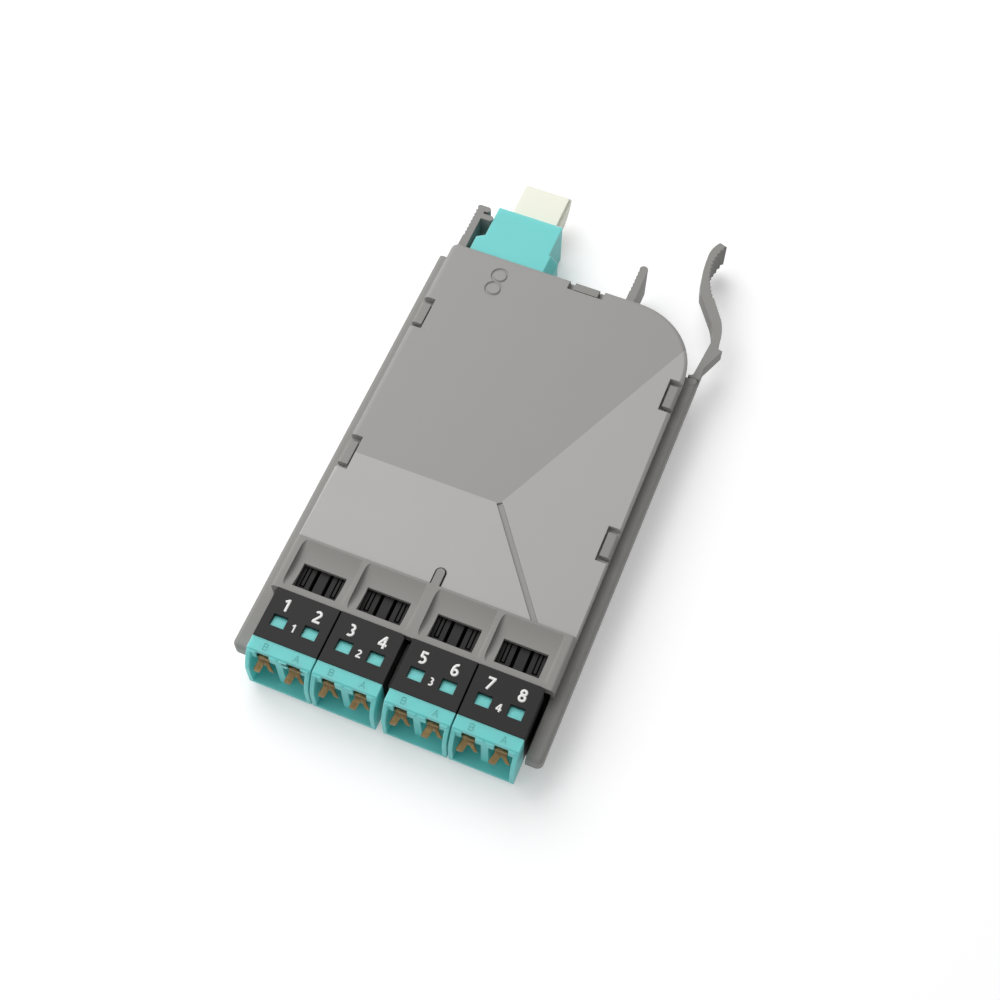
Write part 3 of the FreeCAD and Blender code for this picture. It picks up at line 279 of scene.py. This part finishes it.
def cover_material():
    """The cover's polycarbonate: polished and textured by facet, with painted light on two facets and
    painted shade in the trench.
    """
    material, tree = blank("grey_polycarbonate_cover")
    place = add(tree, "ShaderNodeTexCoord")
    main = drifting(tree, place, "#a1a09e", 0.01)
    # Painted light: the right and front facets are painted paler than the main face, for the light
    # their slopes catch.
    side = drifting(tree, place, "#b4b3b1", 0.01)
    front_painted_paler = drifting(tree, place, "#b8b7b5", 0.03)
    left_of_fold = (FOLD[0] - 1, FOLD[1])
    behind = right_of(tree, place, FOLD, left_of_fold)
    ahead = right_of(tree, place, left_of_fold, FOLD)
    past_trench = right_of(tree, place, TRENCH, FOLD)
    side_painted_paler_mask = overlap(tree, right_of(tree, place, FOLD, REACH), past_trench)
    facets = layered(tree, side_painted_paler_mask, layered(tree, behind, front_painted_paler, main), side)
    strip = overlap(tree, right_of(tree, place, *beside(TRENCH, FOLD, TRENCH_HALF_MM)),
                    right_of(tree, place, *beside(FOLD, TRENCH, TRENCH_HALF_MM)))
    trench_painted_shade = overlap(tree, strip, ahead)
    colour = add(tree, "ShaderNodeMix", {"data_type": "RGBA"},
                 {0: (trench_painted_shade, "Value"), 6: (facets, 2)})
    # Painted shade: the trench is painted darker than the facets beside it, for the shade in the
    # groove.
    colour.inputs[7].default_value = linear("#9e9d9a")
    grain = grain_bump(tree, place, SPARKLE_MM, SPARKLE_DEEP_MM, EDGE_MM)
    plain = add(tree, "ShaderNodeBevel", {"samples": EDGE_SAMPLES, "Radius": EDGE_MM * MM})
    before_trench = add(tree, "ShaderNodeMath", {"operation": "SUBTRACT", 0: 1.0},
                        {1: (past_trench, "Value")})
    textured = overlap(tree, ahead, before_trench)
    relief = add(tree, "ShaderNodeMix", {"data_type": "VECTOR"},
                 {0: (textured, "Value"), 4: (plain, "Normal"), 5: (grain, "Normal")})
    shade = add(tree, "ShaderNodeBsdfPrincipled",
                {"Roughness": 0.5, "IOR": 1.5, "Specular IOR Level": 0.4},
                {"Base Color": (colour, 2), "Normal": (relief, 1)})
    add(tree, "ShaderNodeOutputMaterial", links={"Surface": (shade, "BSDF")})
    return material


cover_plastic = cover_material()
print("the trench is %.1f mm wide" % (2 * TRENCH_HALF_MM))

# %% [markdown]
# The shutters are leaves of phosphor bronze, rolled, stamped and bent. It is a metal, so its
# colour is the colour of its reflections. Rolling leaves fine lines up and down the leaf,
# which spread a highlight sideways, and handling leaves darker patches.

# %% Phosphor bronze
ROLL_LINE_MM = 0.12
ROLL_SQUEEZE = 0.08
PATCH_MM = 1.1
LEAF_EDGE_MM = 0.08


def rolled_bronze():
    """Stamped spring bronze with rolling lines and darker patches."""
    material, tree = blank("phosphor_bronze")
    place = add(tree, "ShaderNodeTexCoord")
    squeezed = add(tree, "ShaderNodeMapping", {"Scale": (1.0, 1.0, ROLL_SQUEEZE)},
                   {"Vector": (place, "Object")})
    lines = add(tree, "ShaderNodeTexNoise", {"Scale": 1 / (ROLL_LINE_MM * MM), "Detail": 1.0},
                {"Vector": (squeezed, "Vector")})
    patch = add(tree, "ShaderNodeTexNoise", {"Scale": 1 / (PATCH_MM * MM), "Detail": 2.0},
                {"Vector": (place, "Object")})
    tone = add(tree, "ShaderNodeMix", {"data_type": "RGBA"}, {0: (patch, "Fac")})
    tone.inputs[6].default_value = linear("#55442a")
    tone.inputs[7].default_value = linear("#a28a5c")
    edge = add(tree, "ShaderNodeBevel", {"samples": EDGE_SAMPLES, "Radius": LEAF_EDGE_MM * MM})
    bump = add(tree, "ShaderNodeBump", {"Strength": 0.4, "Distance": 0.01 * MM},
               {"Height": (lines, "Fac"), "Normal": (edge, "Normal")})
    shade = add(tree, "ShaderNodeBsdfPrincipled", {"Metallic": 0.8, "Roughness": 0.3},
                {"Base Color": (tone, 2), "Normal": (bump, "Normal")})
    add(tree, "ShaderNodeOutputMaterial", links={"Surface": (shade, "BSDF")})
    return material


bronze = rolled_bronze()
print("rolling lines", ROLL_LINE_MM, "mm apart")

# %% Give every piece its finish
FINISHES = {
    "housing_base": tray_plastic,
    "housing_cover": cover_plastic,
    "latch_lever": tray_plastic,
    "port_adapter": aqua_plastic,
    "rear_adapter": aqua_plastic,
    "port_cap": black_plastic,
    "port_shutter": bronze,
    "alignment_sleeve": ceramic,
    "ferrule": ceramic,
    "inner_connector": inner_plastic,
    "fan_out_block": inner_plastic,
    "trunk_plug": inner_plastic,
    "fibre": jacket,
    "dust_cap": cream_plastic,
}
for name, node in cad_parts.items():
    finish = next(FINISHES[start] for start in FINISHES if name.startswith(start))
    node.data.materials.clear()
    node.data.materials.append(finish)
print("finished", len(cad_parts), "pieces")

# %% [markdown]
# Two more helpers work on meshes. The first takes the mesh that a helper object has once its
# modifiers are applied, and throws the object away. The second makes one finished object: it
# joins meshes that already stand in their places, gives them one material, and lets the piece
# ride on a body of the frame.

# %% Helpers that bake a mesh and lay a piece on a body
def baked(holder):
    """The mesh of a helper object with its modifiers applied; the object goes."""
    graph = bpy.context.evaluated_depsgraph_get()
    mesh = bpy.data.meshes.new_from_object(holder.evaluated_get(graph))
    holder.modifiers.clear()
    bpy.data.objects.remove(holder)
    return mesh


def lay(name, meshes, material, body="cassette"):
    """One object from several meshes, with one material, riding on a body."""
    joined = bmesh.new()
    for mesh in meshes:
        joined.from_mesh(mesh)
    whole = bpy.data.meshes.new(name)
    joined.to_mesh(whole)
    joined.free()
    whole.materials.clear()
    whole.materials.append(material)
    piece = bpy.data.objects.new(name, whole)
    scene.collection.objects.link(piece)
    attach(piece, body)
    return piece


# %% [markdown]
# Noses and cover get finer cuts than their solids have. Each is copied, its doubled
# corners are merged, and Boolean modifiers cut tools out of it or join them to it. The copy
# then stands for the frame's piece. In a nose, the divider between the two ports stands back
# from the sill, the lip over the mouths is thin, so that the shutters' plates show, and two
# small bearings hold each pin. In the cover, the numeral is two round grooves.

# %% Noses with a thin lip, and the engraved numeral
PAIR_CENTRES = (-20.165, -7.095, 7.095, 20.165)
PORT_STEP = 3.125
MOUTH_HALF = 2.4
MOUTH_SILL = 1.9
FRONT = -60.0
LIP_UNDER = 12.0
DIVIDER_BACK = -52.0
LIP_BACK = -50.3
PLATE_HALF = 1.35
BEARING_FOOT = 9.9
BEARING_BACK = -51.0
BEARING_TOP = 12.1
BEARING_BITE = 0.5
OVERCUT = 0.3
COVER_TOP = 12.1
NUMERAL_LOOPS = (((-15.6, 43.3), 1.6), ((-15.6, 39.75), 1.6))
GROOVE_SECTION = ((-0.4, 0.1), (-0.17, -0.22), (0.0, -0.28), (0.17, -0.22), (0.4, 0.1))
GROOVE_STEPS = 64
MERGE_MM = 0.0005
SHARP = math.radians(30.0)
FLAT = math.radians(0.2)
WIDE_MM2 = 8.0


def closed(mesh):
    """The same mesh with all its normals turned outwards."""
    shell = bmesh.new()
    shell.from_mesh(mesh)
    bmesh.ops.recalc_face_normals(shell, faces=shell.faces)
    shell.to_mesh(mesh)
    shell.free()
    return mesh


def box_tool(low, high):
    """A box between two corners in millimetres."""
    solid = bmesh.new()
    bmesh.ops.create_cube(solid, size=1.0)
    low, high = Vector(low) * MM, Vector(high) * MM
    for corner in solid.verts:
        corner.co = [low[axis] + (corner.co[axis] + 0.5) * (high[axis] - low[axis])
                     for axis in range(3)]
    mesh = bpy.data.meshes.new("box_tool")
    solid.to_mesh(mesh)
    solid.free()
    return mesh


def lathed(centre, section, steps):
    """A section of (radius, height) corners, spun round an upright axis."""
    corners = []
    for step in range(steps):
        turn = 2 * math.pi * step / steps
        for radius, height in section:
            across, along = radius * math.cos(turn), radius * math.sin(turn)
            corners.append(Vector((centre[0] + across, centre[1] + along, height)) * MM)
    count = len(section)
    bands = []
    for step in range(steps):
        here, there = count * step, count * ((step + 1) % steps)
        for side in range(count):
            after = (side + 1) % count
            bands.append((here + side, here + after, there + after, there + side))
    mesh = bpy.data.meshes.new("lathed")
    mesh.from_pydata(corners, [], bands)
    return closed(mesh)


def part_flat_from_round(mesh):
    """Shade a mesh smoothly, but keep hard edges and wide flat faces crisp."""
    shell = bmesh.new()
    shell.from_mesh(mesh)
    bmesh.ops.dissolve_limit(shell, angle_limit=FLAT, verts=shell.verts, edges=shell.edges)
    for face in shell.faces:
        face.smooth = True
    for edge in shell.edges:
        hard = edge.calc_face_angle(0.0) > SHARP
        areas = [face.calc_area() for face in edge.link_faces]
        wide = max(areas, default=0.0) > WIDE_MM2 * MM * MM
        edge.smooth = not (hard or wide)
    shell.to_mesh(mesh)
    shell.free()


def carved(node, tools):
    """A copy of a frame piece, changed by (operation, tool) pairs, standing for that piece."""
    body = bmesh.new()
    body.from_mesh(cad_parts[node].data)
    bmesh.ops.remove_doubles(body, verts=body.verts, dist=MERGE_MM * MM)
    whole = bpy.data.meshes.new(node)
    body.to_mesh(whole)
    body.free()
    holder = bpy.data.objects.new("holder", closed(whole))
    scene.collection.objects.link(holder)
    helpers = []
    for operation, tool in tools:
        helper = bpy.data.objects.new("tool", tool)
        scene.collection.objects.link(helper)
        helpers.append(helper)
        cut = holder.modifiers.new("cut", "BOOLEAN")
        cut.operation = operation
        cut.solver = "EXACT"
        cut.object = helper
    mesh = baked(holder)
    for helper in helpers:
        bpy.data.objects.remove(helper)
    part_flat_from_round(mesh)
    piece = lay(node + "_carved", [mesh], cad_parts[node].data.materials[0])
    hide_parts(node)
    return piece


def nose_tools(centre):
    """The changes to one nose: a cut across both ports, then a slot and bearings in each."""
    left, right = centre - PORT_STEP - MOUTH_HALF, centre + PORT_STEP + MOUTH_HALF
    across = box_tool((left, FRONT, MOUTH_SILL), (right, DIVIDER_BACK, LIP_UNDER))
    tools = [("DIFFERENCE", across)]
    for side in (centre - PORT_STEP, centre + PORT_STEP):
        slot = box_tool((side - PLATE_HALF, DIVIDER_BACK - OVERCUT, BEARING_FOOT + OVERCUT),
                        (side + PLATE_HALF, LIP_BACK, LIP_UNDER))
        tools.append(("DIFFERENCE", slot))
        outer = MOUTH_HALF + BEARING_BITE
        for near, far in ((PLATE_HALF, outer), (-outer, -PLATE_HALF)):
            bearing = box_tool((side + near, DIVIDER_BACK, BEARING_FOOT),
                               (side + far, BEARING_BACK, BEARING_TOP))
            tools.append(("UNION", bearing))
    return tools


noses = [carved("port_adapter_%d" % (pair + 1), nose_tools(centre))
         for pair, centre in enumerate(PAIR_CENTRES)]
grooves = []
for centre, radius in NUMERAL_LOOPS:
    section = [(radius + aside, COVER_TOP + down) for aside, down in GROOVE_SECTION]
    grooves.append(("DIFFERENCE", lathed(centre, section, GROOVE_STEPS)))
engraved = carved("housing_cover", grooves)
print("faces of a nose", len(noses[0].data.polygons))
print("faces of the cover", len(engraved.data.polygons))

# %% [markdown]
# A shutter is a leaf of sheet bronze on a pin. Below the pin it has a stiffening fold, and
# its foot parts into a long ear and a short one, which curl towards the front, so that a
# plug's tip slides over them. The frame has the flat leaf. Here each part is drawn as rows
# across the sheet, from the pin down, each with its left and right edge and its place in
# depth. Solidify gives the sheet its thickness, and Subdivision Surface its smooth curl.

# %% Bronze shutters
HINGE_BACK = -51.55
HINGE_TOP = 10.35
LEAN = math.radians(-13.0)
PIN_STEPS = 24
SHEET_MM = 0.2
CURL_LEVELS = 2
PIN_RADIUS = 0.3
PIN_HALF = 1.6
PLATE_ROWS = ((-1.2, 1.2, -0.3, 0.2), (-1.2, 1.2, -0.15, -0.5), (-1.2, 1.2, -0.05, -0.8),
              (-1.2, 1.2, -0.4, -1.05), (-1.2, 1.2, -0.05, -1.3), (-1.2, 1.2, 0.0, -2.0),
              (-0.6, 0.6, 0.0, -2.6))
LEFT_EAR = ((-1.2, 0.1, -0.1, -1.5), (-1.4, 0.0, -0.25, -2.2), (-1.65, -0.2, -0.5, -2.9),
            (-1.85, -0.4, -0.75, -3.6), (-1.95, -0.6, -0.8, -4.2), (-1.95, -0.8, -0.6, -4.7),
            (-1.8, -1.0, -0.3, -5.0))
RIGHT_EAR = ((0.2, 1.2, -0.1, -1.5), (0.4, 1.5, -0.2, -2.0), (0.75, 1.85, -0.4, -2.45),
             (1.1, 2.1, -0.5, -2.9), (1.4, 2.1, -0.4, -3.25), (1.6, 1.95, -0.15, -3.5))


def sheet(rows, columns=4):
    """A smooth sheet between rows of (left, right, depth, height), all in millimetres."""
    corners = []
    for left, right, depth, height in rows:
        corners += [Vector((left + (right - left) * step / columns, depth, height)) * MM
                    for step in range(columns + 1)]
    wide = columns + 1
    panes = []
    for row in range(len(rows) - 1):
        for step in range(columns):
            here, below = row * wide + step, (row + 1) * wide + step
            panes.append((here, below, below + 1, here + 1))
    flat = bpy.data.meshes.new("sheet")
    flat.from_pydata(corners, [], panes)
    holder = bpy.data.objects.new("sheet", flat)
    scene.collection.objects.link(holder)
    solid = holder.modifiers.new("thickness", "SOLIDIFY")
    solid.thickness = SHEET_MM * MM
    solid.offset = 0.0
    smooth = holder.modifiers.new("curl", "SUBSURF")
    smooth.levels = smooth.render_levels = CURL_LEVELS
    return baked(holder)


def hinge_pin():
    """The pin that the leaf hangs from."""
    rod = bmesh.new()
    bmesh.ops.create_cone(rod, cap_ends=True, segments=PIN_STEPS, radius1=PIN_RADIUS * MM,
                          radius2=PIN_RADIUS * MM, depth=2 * PIN_HALF * MM,
                          matrix=Matrix.Rotation(math.pi / 2, 4, "Y"))
    mesh = bpy.data.meshes.new("pin")
    rod.to_mesh(mesh)
    rod.free()
    return mesh


def shutter(port, side):
    """One shutter in its place, standing for the frame's leaf."""
    meshes = [sheet(rows) for rows in (PLATE_ROWS, LEFT_EAR, RIGHT_EAR)] + [hinge_pin()]
    hinge = Vector((side, HINGE_BACK, HINGE_TOP)) * MM
    place = Matrix.Translation(hinge) @ Matrix.Rotation(LEAN, 4, "X")
    for mesh in meshes:
        mesh.transform(place)
        mesh.shade_smooth()
    piece = lay("bronze_shutter_%d" % port, meshes, bronze, "shutter_%d" % port)
    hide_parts("port_shutter_%d" % port)
    return piece


shutters = []
for pair, centre in enumerate(PAIR_CENTRES):
    shutters.append(shutter(2 * pair + 1, centre - PORT_STEP))
    shutters.append(shutter(2 * pair + 2, centre + PORT_STEP))
print("shutters", len(shutters), "with", len(shutters[0].data.polygons), "faces each")

# %% [markdown]
# The port numbers are pad printed in white ink on the black caps: a large one behind each
# port, and a small one between the two ports of a pair. Each numeral is a few pen strokes on
# a box one unit tall. A Geometry Nodes tree drags a flat nib along the strokes, as a pen
# lays ink, so one rule draws all twelve, and the nib's width alone sets how bold they are.

# %% Pen strokes of the numerals
NIB = 0.2


def bend(x, y, wide, tall, start, end, steps=14):
    """Points along an elliptical bend, from one angle to another in degrees."""
    turns = [math.radians(start + (end - start) * step / steps) for step in range(steps + 1)]
    return [(x + wide * math.cos(turn), y + tall * math.sin(turn)) for turn in turns]


NUMERALS = {
    "1": [[(0.06, 0.0), (0.06, 1.0)], [(0.1, 0.945), (-0.21, 0.735)]],
    "2": [bend(-0.02, 0.705, 0.2, 0.205, 155, -25) + [(-0.2, 0.14), (-0.22, 0.09)],
          [(-0.29, 0.0925), (0.3, 0.0925)]],
    "3": [bend(-0.045, 0.715, 0.2, 0.195, 130, -90, 18), bend(-0.045, 0.3, 0.24, 0.22, 90, -130, 18)],
    "4": [[(0.13, 0.0), (0.13, 1.0)], [(0.1, 0.93), (-0.26, 0.33)], [(-0.33, 0.3), (0.33, 0.3)]],
    "5": [[(-0.2, 0.9075), (0.25, 0.9075)], [(-0.14, 0.98), (-0.155, 0.52)],
          [(-0.2, 0.53)] + bend(-0.03, 0.335, 0.24, 0.245, 110, -130, 18)],
    "6": [bend(0.02, 0.3, 0.205, 0.21, 0, 360, 26),
          [(-0.18, 0.33)] + bend(0.12, 0.46, 0.3, 0.45, 180, 82)],
    "7": [[(-0.29, 0.9075), (0.29, 0.9075)], [(0.22, 0.9), (-0.13, 0.0)]],
    "8": [bend(0.0, 0.735, 0.185, 0.175, 0, 360, 26), bend(0.0, 0.3, 0.215, 0.21, 0, 360, 26)],
}
print("numerals", len(NUMERALS))

# %% Numbers in white ink
CAP_TOP = 12.5
INK_MM = 0.02
STEP_MM = 0.001
BIG_TALL = 2.5
BIG_BACK = -41.5
SMALL_TALL = 1.6
SMALL_BACK = -45.2


def pen_tree(material):
    """A tree that drags a flat nib along level strokes and gives the line its ink."""
    tree = bpy.data.node_groups.new("flat_pen", "GeometryNodeTree")
    tree.interface.new_socket("Strokes", in_out="INPUT", socket_type="NodeSocketGeometry")
    tree.interface.new_socket("Nib", in_out="INPUT", socket_type="NodeSocketFloat")
    tree.interface.new_socket("Ink", in_out="INPUT", socket_type="NodeSocketFloat")
    tree.interface.new_socket("Line", in_out="OUTPUT", socket_type="NodeSocketGeometry")
    given = add(tree, "NodeGroupInput")
    level = add(tree, "GeometryNodeSetCurveNormal", {"mode": "Z_UP"}, {"Curve": (given, "Strokes")})
    nib = add(tree, "GeometryNodeCurvePrimitiveQuadrilateral",
              links={"Width": (given, "Nib"), "Height": (given, "Ink")})
    swept = add(tree, "GeometryNodeCurveToMesh", {"Fill Caps": True},
                {"Curve": (level, "Curve"), "Profile Curve": (nib, "Curve")})
    real = add(tree, "GeometryNodeRealizeInstances", links={"Geometry": (swept, "Mesh")})
    inked = add(tree, "GeometryNodeSetMaterial", {"Material": material},
                {"Geometry": (real, "Geometry")})
    add(tree, "NodeGroupOutput", links={"Line": (inked, "Geometry")})
    return tree


def written(tree, values, strokes):
    """The mesh that a tree makes from strokes, lists of points in millimetres."""
    lines = bpy.data.curves.new("strokes", "CURVE")
    lines.dimensions = "3D"
    for points in strokes:
        spline = lines.splines.new("POLY")
        spline.points.add(len(points) - 1)
        for spot, point in zip(spline.points, points):
            spot.co = (*(Vector(point) * MM), 1.0)
    holder = bpy.data.objects.new("strokes", lines)
    scene.collection.objects.link(holder)
    modifier = holder.modifiers.new("pen", "NODES")
    modifier.node_group = tree
    for item in tree.interface.items_tree:
        if item.name in values:
            modifier[item.identifier] = values[item.name] * MM
    return baked(holder)


def numeral(digit, centre, tall):
    """A numeral's strokes on the cap, each a hair higher than the last one."""
    placed = []
    for order, stroke in enumerate(NUMERALS[digit]):
        height = CAP_TOP + STEP_MM * order
        placed.append([(centre[0] + x * tall, centre[1] + (y - 0.5) * tall, height)
                       for x, y in stroke])
    return placed


white_ink = moulded("white_pad_ink", "#fbfbfa", 0.5, grain_mm=0.1, depth_mm=0.002,
                    drift=0.0, edge_mm=0.02)
pen = pen_tree(white_ink)
lines = []
for pair, centre in enumerate(PAIR_CENTRES):
    big = numeral(str(2 * pair + 1), (centre - PORT_STEP, BIG_BACK), BIG_TALL)
    big += numeral(str(2 * pair + 2), (centre + PORT_STEP, BIG_BACK), BIG_TALL)
    lines.append(written(pen, {"Nib": NIB * BIG_TALL, "Ink": INK_MM}, big))
    small = numeral(str(pair + 1), (centre, SMALL_BACK), SMALL_TALL)
    lines.append(written(pen, {"Nib": NIB * SMALL_TALL, "Ink": INK_MM}, small))
printed = lay("port_numbers", lines, white_ink)
size = printed.dimensions / MM
print("numbers %.1f x %.1f x %.3f mm" % tuple(size))

# %% [markdown]
# Every nose carries the same two thin letters, a little darker than the plastic: B over
# the left port, A over the right. The pair is drawn once, with the same pen and a fine nib.
# A second tree sets it on four points, one for each nose, makes the copies real and gives
# them their material, so that moving a point changes only that nose.

# %% Letters on the noses
NOSE_TOP = 12.4
LETTER_TALL = 1.35
LETTER_BACK = -50.35
LETTER_SIDE = 3.1
LETTER_NIB = 0.13
letter_shade = moulded("aqua_letter_shade", "#5fb9b5", 0.5, grain_mm=0.2, depth_mm=0.002,
                       drift=0.0, edge_mm=0.02)
LETTERS = {
    "B": [[(-0.3, 0.0), (-0.3, 1.0)],
          [(-0.3, 0.96), (0.05, 0.96)] + bend(0.05, 0.74, 0.22, 0.22, 90, -90, 10) + [(-0.3, 0.52)],
          [(-0.3, 0.04), (0.08, 0.04)] + bend(0.08, 0.28, 0.25, 0.24, -90, 90, 10) + [(-0.3, 0.52)]],
    "A": [[(-0.36, 0.0), (0.0, 1.0)], [(0.36, 0.0), (0.0, 1.0)], [(-0.24, 0.34), (0.24, 0.34)]],
}


def copies_tree(material):
    """A tree that sets one object on every point of a mesh, scaled, and makes it real."""
    tree = bpy.data.node_groups.new("set_on_points", "GeometryNodeTree")
    tree.interface.new_socket("Points", in_out="INPUT", socket_type="NodeSocketGeometry")
    tree.interface.new_socket("Pattern", in_out="INPUT", socket_type="NodeSocketObject")
    tree.interface.new_socket("Size", in_out="INPUT", socket_type="NodeSocketFloat")
    tree.interface.new_socket("Copies", in_out="OUTPUT", socket_type="NodeSocketGeometry")
    given = add(tree, "NodeGroupInput")
    pattern = add(tree, "GeometryNodeObjectInfo", links={"Object": (given, "Pattern")})
    placed = add(tree, "GeometryNodeInstanceOnPoints",
                 links={"Points": (given, "Points"), "Instance": (pattern, "Geometry"),
                        "Scale": (given, "Size")})
    real = add(tree, "GeometryNodeRealizeInstances", links={"Geometry": (placed, "Instances")})
    coloured = add(tree, "GeometryNodeSetMaterial", {"Material": material},
                   {"Geometry": (real, "Geometry")})
    add(tree, "NodeGroupOutput", links={"Copies": (coloured, "Geometry")})
    return tree


def set_on_points(name, places, pattern, size, material):
    """Copy a pattern onto the places through the tree, and keep the result as a mesh."""
    points = bpy.data.meshes.new(name + "_points")
    points.from_pydata([Vector(place) * MM for place in places], [], [])
    holder = bpy.data.objects.new(name + "_points", points)
    scene.collection.objects.link(holder)
    tree = copies_tree(material)
    modifier = holder.modifiers.new("copies", "NODES")
    modifier.node_group = tree
    sockets = {item.name: item.identifier for item in tree.interface.items_tree}
    modifier[sockets["Pattern"]] = pattern
    modifier[sockets["Size"]] = size
    return lay(name, [baked(holder)], material)


pair_strokes = []
for letter, side in (("B", -LETTER_SIDE), ("A", LETTER_SIDE)):
    for order, stroke in enumerate(LETTERS[letter]):
        pair_strokes.append([(side + x * LETTER_TALL, (y - 0.5) * LETTER_TALL, STEP_MM * order)
                             for x, y in stroke])
letter_pen = pen_tree(letter_shade)
letter_pair = written(letter_pen, {"Nib": LETTER_NIB, "Ink": INK_MM}, pair_strokes)
pattern = bpy.data.objects.new("letter_pair", letter_pair)
scene.collection.objects.link(pattern)
nose_tops = [(centre, LETTER_BACK, NOSE_TOP) for centre in PAIR_CENTRES]
letters = set_on_points("polarity_letters", nose_tops, pattern, 1.0, letter_shade)
bpy.data.objects.remove(pattern)
print("letters", len(letters.data.polygons), "faces on", len(nose_tops), "noses")

# %% [markdown]
# On the real part the lever and the rail are one moulding, with a thin web that bends. The
# frame gives the lever a round root in a socket, so that it can turn. A thin ring fills the
# working gap between the two, flush with their tops. It is lathed from a small section, a
# rectangle spun round the root's axis, and carries the same plastic, so the joint vanishes.

# %% Ring that closes the gap round the lever's root
ROOT_PLACE = (29.37, 36.0)
ROOT_TOP = 8.5
ROOT_RADIUS = 0.9
GAP_MM = 0.1
RING_DEEP = 0.6
RING_STEPS = 48
RING_SECTION = ((ROOT_RADIUS, ROOT_TOP), (ROOT_RADIUS, ROOT_TOP - RING_DEEP),
                (ROOT_RADIUS + GAP_MM, ROOT_TOP - RING_DEEP), (ROOT_RADIUS + GAP_MM, ROOT_TOP))

ring = lathed(ROOT_PLACE, RING_SECTION, RING_STEPS)
ring_piece = lay("lever_root_ring", [ring], tray_plastic, "lever")
print("ring", len(ring_piece.data.polygons), "faces")
